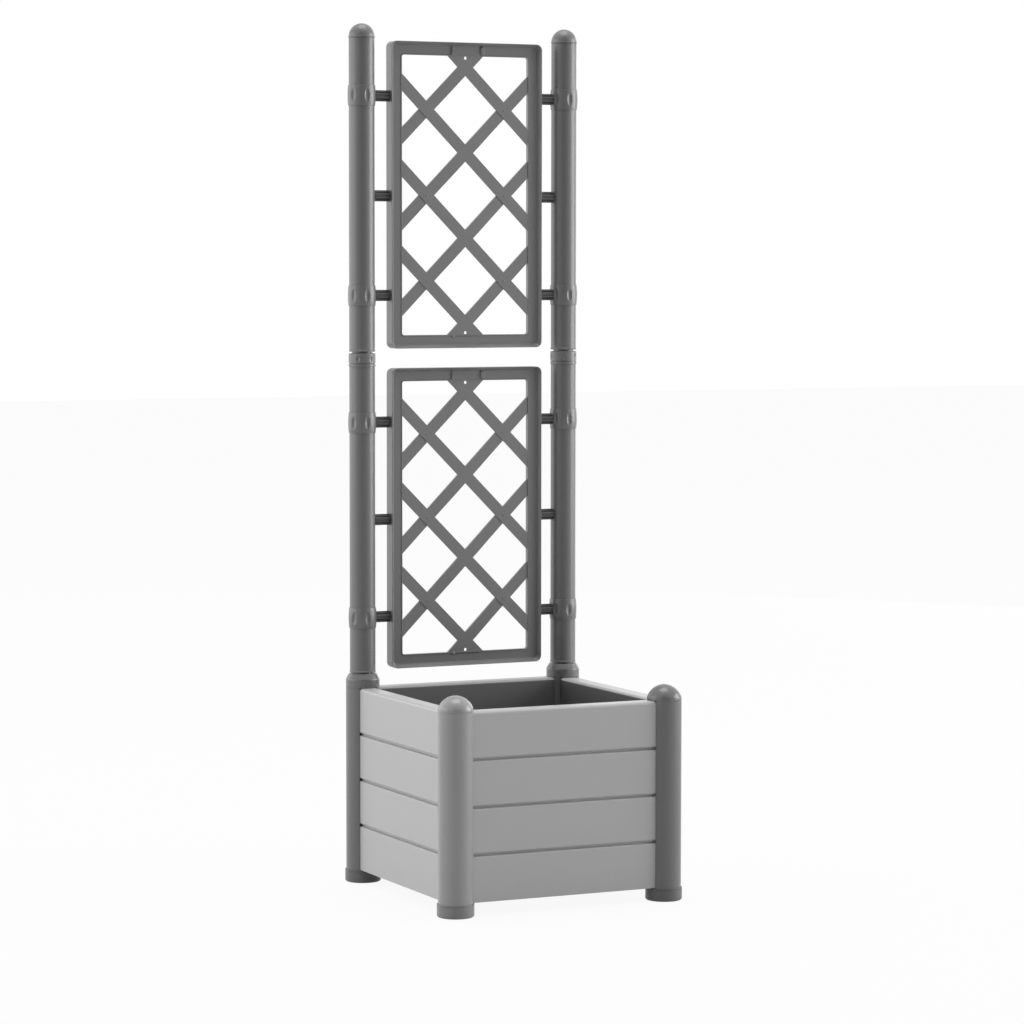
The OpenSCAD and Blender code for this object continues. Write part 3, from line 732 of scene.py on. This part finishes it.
nub_rows, given, result = new_tree(
    "Nubs",
    "GeometryNodeTree",
    [("Geometry", "Geometry", None), ("Radius", "Float", 0.0015), ("Height", "Float", 0.001),
     ("Plastic", "Material", None)],
    [("Geometry", "Geometry")],
)
ball = add(nub_rows, "GeometryNodeMeshUVSphere", {"Segments": 16, "Rings": 10, "Radius": 1.0})
nub_size = add(nub_rows, "ShaderNodeCombineXYZ", {
    "X": given["Radius"], "Y": given["Height"], "Z": given["Radius"]})
nubs = add(nub_rows, "GeometryNodeInstanceOnPoints", {
    "Points": given["Geometry"], "Instance": ball.outputs["Mesh"], "Scale": nub_size.outputs[0]})
real = add(nub_rows, "GeometryNodeRealizeInstances", {"Geometry": nubs.outputs[0]})
smooth = add(nub_rows, "GeometryNodeSetShadeSmooth", {"Geometry": real.outputs[0]})
finish = add(nub_rows, "GeometryNodeSetMaterial", {
    "Geometry": smooth.outputs[0], "Material": given["Plastic"]})
nub_rows.links.new(finish.outputs[0], result.inputs["Geometry"])


def grow(name, tree, values, points=()):
    """Runs a geometry tree on a few points and keeps its result as a plain mesh."""
    mesh = bpy.data.meshes.new(name)
    mesh.from_pydata(points, [], [])
    piece = bpy.data.objects.new(name, mesh)
    bpy.context.scene.collection.objects.link(piece)
    modifier = piece.modifiers.new(tree.name, "NODES")
    modifier.node_group = tree
    for item in tree.interface.items_tree:
        if item.in_out == "INPUT" and item.name in values:
            modifier[item.identifier] = values[item.name]
    return settle(piece)


def join(piece, extra):
    """Adds another object's mesh to a piece."""
    bm = bmesh.new()
    bm.from_mesh(piece.data)
    bm.from_mesh(extra.data)
    bm.to_mesh(piece.data)
    bm.free()
    bpy.data.objects.remove(extra)


def bring_forward(piece, centre_y):
    """Brings the rear laths' front nearly level with the front ones, most so near the middle."""
    bm = bmesh.new()
    bm.from_mesh(piece.data)
    for cut in (-step_to, -step_from, step_from, step_to):
        bmesh.ops.bisect_plane(
            bm, geom=bm.verts[:] + bm.edges[:] + bm.faces[:], plane_co=(cut * MM, 0, 0),
            plane_no=(1, 0, 0))
    for vert in bm.verts:
        if vert.co.y < centre_y:
            share = (abs(vert.co.x) / MM - step_from) / (step_to - step_from)
            share = min(1, max(0, share))
            vert.co.y -= (lath_thick - lath_dip * (1 - share) - lath_step * share) * MM
    bm.to_mesh(piece.data)
    bm.free()


for level in ("lower", "upper"):
    low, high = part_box(level + "_trellis_frame")
    half_w = (high.x - low.x) / 2 / MM - frame_bar
    half_h = (high.z - low.z) / 2 / MM - frame_bar
    mid_z = (low.z + high.z) / 2
    step = 2 * (half_h - gusset_drop) / cross_gaps
    rows = [(k + 0.5) * step for k in range(-2, 2)]
    hole_z = (half_h - gusset_drop + hole_rise) * MM
    holes = [(0, low.y, mid_z + end * hole_z) for end in (-1, 1)]
    for layer, slope in (("rear", 1), ("front", -1)):
        node = f"{level}_{layer}_laths"
        centre_y = middle(node).y
        piece = grow(f"{level}_{layer}_lath_layer", lath_layer, {
            "Laths": len(rows), "Step": step * MM, "Slope": -slope * math.pi / 4,
            "Width": lath_wide * MM, "Thickness": lath_thick * MM,
            "Reach": 2 * (half_w + half_h) * MM,
            "Window width": 2 * half_w * MM, "Window height": 2 * half_h * MM,
            "Place": (0.0, centre_y, mid_z), "Plastic": lath_plastic,
        })
        drill(piece, holes, hole_r + hole_clear, frame_deep)
        if layer == "rear":
            bring_forward(piece, centre_y)
        smooth_over(settle(ease_edges(piece, lath_edge)))
        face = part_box(node)[0].y
        ends = [
            (side * (half_w + nub_out) * MM, face, mid_z + (row + side * slope * half_w) * MM)
            for row in rows for side in (-1, 1)
            if abs(row + side * slope * half_w) < half_h
        ]
        crossings = [
            (side * step / 2 * MM, face, mid_z + k * step * MM)
            for side in (-1, 1) for k in (-1, 0, 1) if layer == "front"
        ]
        join(piece, grow("nubs", nub_rows, {
            "Radius": nub_r * MM, "Height": nub_high * MM, "Plastic": lath_plastic,
        }, ends + crossings))
        if layer == "front":
            for across, radius in foot_nubs:
                foot = (across * MM, face + lath_edge * MM, mid_z - (half_h + foot_nub_drop) * MM)
                join(piece, grow("nub", nub_rows, {
                    "Radius": radius * MM, "Height": nub_high * MM, "Plastic": lath_plastic,
                }, [foot]))
        keep(piece, "trellis_plastic", node)

# Pins. Ribbed bars of dark plastic between tube and frame, three on each side of a frame. Their
# round spigots are hidden in the ring or tube and in the frame's wall, so only the bars are made.
pin_core, pin_out, pin_edge = 6.8, 9.2, 0.3
pin_ribs, pin_rib_wide, pin_rib_deep = 10, 1.5, 4
pin_seats = {"bottom": 22.6, "middle": 20.9, "top": 22.6}  # from the tube's axis to the pin's end
pin_plastic = moulded("pin plastic", 0.10, 0.40, 2000, 0.01)
ribbed_pin, given, result = new_tree(
    "Ribbed pin",
    "GeometryNodeTree",
    [("Geometry", "Geometry", None), ("Ribs", "Int", 10), ("Core radius", "Float", 0.008),
     ("Rib out", "Float", 0.009), ("Rib width", "Float", 0.002), ("Length", "Float", 0.025),
     ("Place", "Vector", (0, 0, 0)), ("Plastic", "Material", None)],
    [("Geometry", "Geometry")],
)
core = add(ribbed_pin, "GeometryNodeMeshCylinder", {
    "Vertices": 60, "Radius": given["Core radius"], "Depth": given["Length"]})
out = add(ribbed_pin, "ShaderNodeMath", {0: given["Rib out"], 1: -pin_rib_deep / 2 * MM})
rib_size = add(ribbed_pin, "ShaderNodeCombineXYZ", {
    "X": pin_rib_deep * MM, "Y": given["Rib width"], "Z": given["Length"]})
rib = add(ribbed_pin, "GeometryNodeMeshCube", {"Size": rib_size.outputs[0]})
rib_place = add(ribbed_pin, "ShaderNodeCombineXYZ", {"X": out.outputs[0]})
rib = add(ribbed_pin, "GeometryNodeTransform", {
    "Geometry": rib.outputs["Mesh"], "Translation": rib_place.outputs[0]})
seats = add(ribbed_pin, "GeometryNodeMeshLine", {"Count": given["Ribs"], "Offset": (0, 0, 0)})
share = add(ribbed_pin, "ShaderNodeMath", {0: math.tau, 1: given["Ribs"]}, operation="DIVIDE")
turn = add(ribbed_pin, "ShaderNodeMath", {
    0: add(ribbed_pin, "GeometryNodeInputIndex").outputs[0], 1: share.outputs[0]},
    operation="MULTIPLY")
ribs = add(ribbed_pin, "GeometryNodeInstanceOnPoints", {
    "Points": seats.outputs["Mesh"], "Instance": rib.outputs[0],
    "Rotation": add(ribbed_pin, "ShaderNodeCombineXYZ", {"Z": turn.outputs[0]}).outputs[0]})
bundle = add(ribbed_pin, "GeometryNodeJoinGeometry")
for part in (ribs.outputs[0], core.outputs["Mesh"]):
    ribbed_pin.links.new(part, bundle.inputs[0])
real = add(ribbed_pin, "GeometryNodeRealizeInstances", {"Geometry": bundle.outputs[0]})
laid = add(ribbed_pin, "GeometryNodeTransform", {
    "Geometry": real.outputs[0], "Rotation": (0, math.pi / 2, 0), "Translation": given["Place"]})
finish = add(ribbed_pin, "GeometryNodeSetMaterial", {
    "Geometry": laid.outputs[0], "Material": given["Plastic"]})
ribbed_pin.links.new(finish.outputs[0], result.inputs["Geometry"])
for level in ("lower", "upper"):
    for side in ("left", "right"):
        for row, seat in pin_seats.items():
            name = f"{level}_{side}_pin_{row}"
            centre = middle(name)
            inner = abs(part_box(level + "_trellis_frame")[1 if side == "right" else 0].x)
            outer = abs(middle(f"{level}_{side}_tube").x) - seat * MM
            sign = 1 if side == "right" else -1
            piece = grow(f"{level}_{side}_ribbed_pin_{row}", ribbed_pin, {
                "Ribs": pin_ribs, "Core radius": pin_core * MM, "Rib out": pin_out * MM,
                "Rib width": pin_rib_wide * MM, "Length": outer - inner,
                "Place": (sign * (inner + outer) / 2, centre.y, centre.z), "Plastic": pin_plastic,
            })
            smooth_over(settle(ease_edges(piece, pin_edge)))
            keep(piece, "trellis_plastic", name)

# Studio. A plain pale floor and a white surround, soft lights at both sides, behind and above, and
# a black flag in front that the camera doesn't see. The camera stands where the photo's camera did.
floor_level, floor_white = 0.48, 0.93
floor_reach = 20  # metres, as all lengths of the studio
flag_level, flag_far, flag_high = 0.02, 7, 7
flag_bearings = (-44.5, 13.5)
aim_height = 0.75
# Bearing and rise in degrees, distance, width and height in metres, and strength
lights = {
    "right_soft_light": (70, 10, 5, 3.4, 3, 5.7),
    "left_soft_light": (-102, 10, 5, 3.4, 3, 2.2),
    "left_rim_light": (-140, 5, 5, 3, 3, 1.5),
    "right_rim_light": (130, 5, 5, 3, 3, 1.0),
    "top_soft_light": (0, 90, 4.5, 3, 3, 4.0),
}
# Strength of the surround's light from behind, from the right and from above
sky = {(0, 1, 0): 1.2, (1, 0, 0): 0.1, (0, 0, 1): 1.1}
camera_place = (-2.5602, -5.3722, 1.0355)
yaw, pitch, roll = (math.radians(angle) for angle in (25.488, 3.972, 0.057))
image_wide, focal_length, sensor_wide = 1024, 3655, 36  # pixels, pixels and millimetres


def looked_at(tree):
    """Socket that is 1 for what is seen directly, in a reflection or through glass."""
    ray = add(tree, "ShaderNodeLightPath")
    seen = add(tree, "ShaderNodeMath", {
        0: ray.outputs["Is Camera Ray"], 1: ray.outputs["Is Glossy Ray"]}, operation="MAXIMUM")
    return add(tree, "ShaderNodeMath", {
        0: seen.outputs[0], 1: ray.outputs["Is Transmission Ray"]}, operation="MAXIMUM").outputs[0]


stage_plastic = bpy.data.materials.new("studio floor")
stage_plastic.use_nodes = True
tree = stage_plastic.node_tree
paint = tree.nodes["Principled BSDF"]
paint.inputs["Base Color"].default_value = grey(floor_level)
paint.inputs["Roughness"].default_value = 0.9
glow = add(tree, "ShaderNodeEmission", {"Color": grey(1), "Strength": 1.0})
whitened = add(tree, "ShaderNodeMath", {0: looked_at(tree), 1: floor_white}, operation="MULTIPLY")
mix = add(tree, "ShaderNodeMixShader", {
    0: whitened.outputs[0], 1: paint.outputs[0], 2: glow.outputs[0]})
tree.links.new(mix.outputs[0], tree.nodes["Material Output"].inputs["Surface"])


def stage_sheet(name, corners, material):
    """A flat four-cornered sheet of the studio."""
    mesh = bpy.data.meshes.new(name)
    mesh.from_pydata(corners, [], [(0, 1, 2, 3)])
    mesh.materials.append(material)
    sheet = bpy.data.objects.new(name, mesh)
    bpy.context.scene.collection.objects.link(sheet)
    return sheet


stage_sheet("studio_floor", [
    (-floor_reach, -floor_reach, 0), (floor_reach, -floor_reach, 0),
    (floor_reach, floor_reach, 0), (-floor_reach, floor_reach, 0)], stage_plastic)

flag_cloth = bpy.data.materials.new("black cloth")
flag_cloth.use_nodes = True
paint = flag_cloth.node_tree.nodes["Principled BSDF"]
paint.inputs["Base Color"].default_value = grey(flag_level)
paint.inputs["Roughness"].default_value = 1
turns = [math.radians(bearing - 90) for bearing in flag_bearings]
feet = [(flag_far * math.cos(turn), flag_far * math.sin(turn)) for turn in turns]
flag = stage_sheet("black_flag", [
    (*feet[0], 0), (*feet[1], 0), (*feet[1], flag_high), (*feet[0], flag_high)], flag_cloth)
flag.visible_camera = False


def soft_light(name, bearing, rise, far, wide, tall, strength):
    """A rectangular soft light on a bearing from the planter, aimed at its middle."""
    lamp = bpy.data.lights.new(name, "AREA")
    lamp.shape = "RECTANGLE"
    lamp.size, lamp.size_y = wide, tall
    lamp.energy = strength * math.pi * wide * tall
    turn, lift = math.radians(bearing), math.radians(rise)
    level_out = Vector((math.sin(turn), -math.cos(turn), 0))
    out = level_out * math.cos(lift) + Vector((0, 0, math.sin(lift)))
    box = bpy.data.objects.new(name, lamp)
    box.location = Vector((0, 0, aim_height)) + out * far
    box.rotation_euler = out.to_track_quat("Z", "Y").to_euler()
    bpy.context.scene.collection.objects.link(box)


for name, values in lights.items():
    soft_light(name, *values)

world = bpy.data.worlds.new("studio")
bpy.context.scene.world = world
world.use_nodes = True
tree = world.node_tree
tree.nodes.clear()
aim = add(tree, "ShaderNodeTexCoord").outputs["Generated"]
total = add(tree, "ShaderNodeValue")
total.outputs[0].default_value = 0
for way, strength in sky.items():
    lobe = add(tree, "ShaderNodeVectorMath", {0: aim, 1: way}, operation="DOT_PRODUCT")
    lobe = add(tree, "ShaderNodeMath", {0: lobe.outputs["Value"], 1: 0.0}, operation="MAXIMUM")
    total = add(tree, "ShaderNodeMath", {
        0: lobe.outputs[0], 1: strength, 2: total.outputs[0]}, operation="MULTIPLY_ADD")
ambient = add(tree, "ShaderNodeBackground", {"Color": grey(1), "Strength": total.outputs[0]})
white = add(tree, "ShaderNodeBackground", {"Color": grey(1), "Strength": 1.0})
mix = add(tree, "ShaderNodeMixShader", {
    0: looked_at(tree), 1: ambient.outputs[0], 2: white.outputs[0]})
tree.links.new(mix.outputs[0], add(tree, "ShaderNodeOutputWorld").inputs["Surface"])

camera = bpy.data.objects.new("camera", bpy.data.cameras.new("camera"))
bpy.context.scene.collection.objects.link(camera)
camera.data.sensor_width = sensor_wide
camera.data.lens = focal_length / image_wide * sensor_wide
camera.data.clip_end = 100
camera.location = camera_place
camera.rotation_euler = (
    Matrix.Rotation(-yaw, 3, "Z")
    @ Matrix.Rotation(math.pi / 2 - pitch, 3, "X")
    @ Matrix.Rotation(roll, 3, "Z")
).to_euler()
bpy.context.scene.camera = camera
bpy.context.scene.view_settings.view_transform = "Standard"
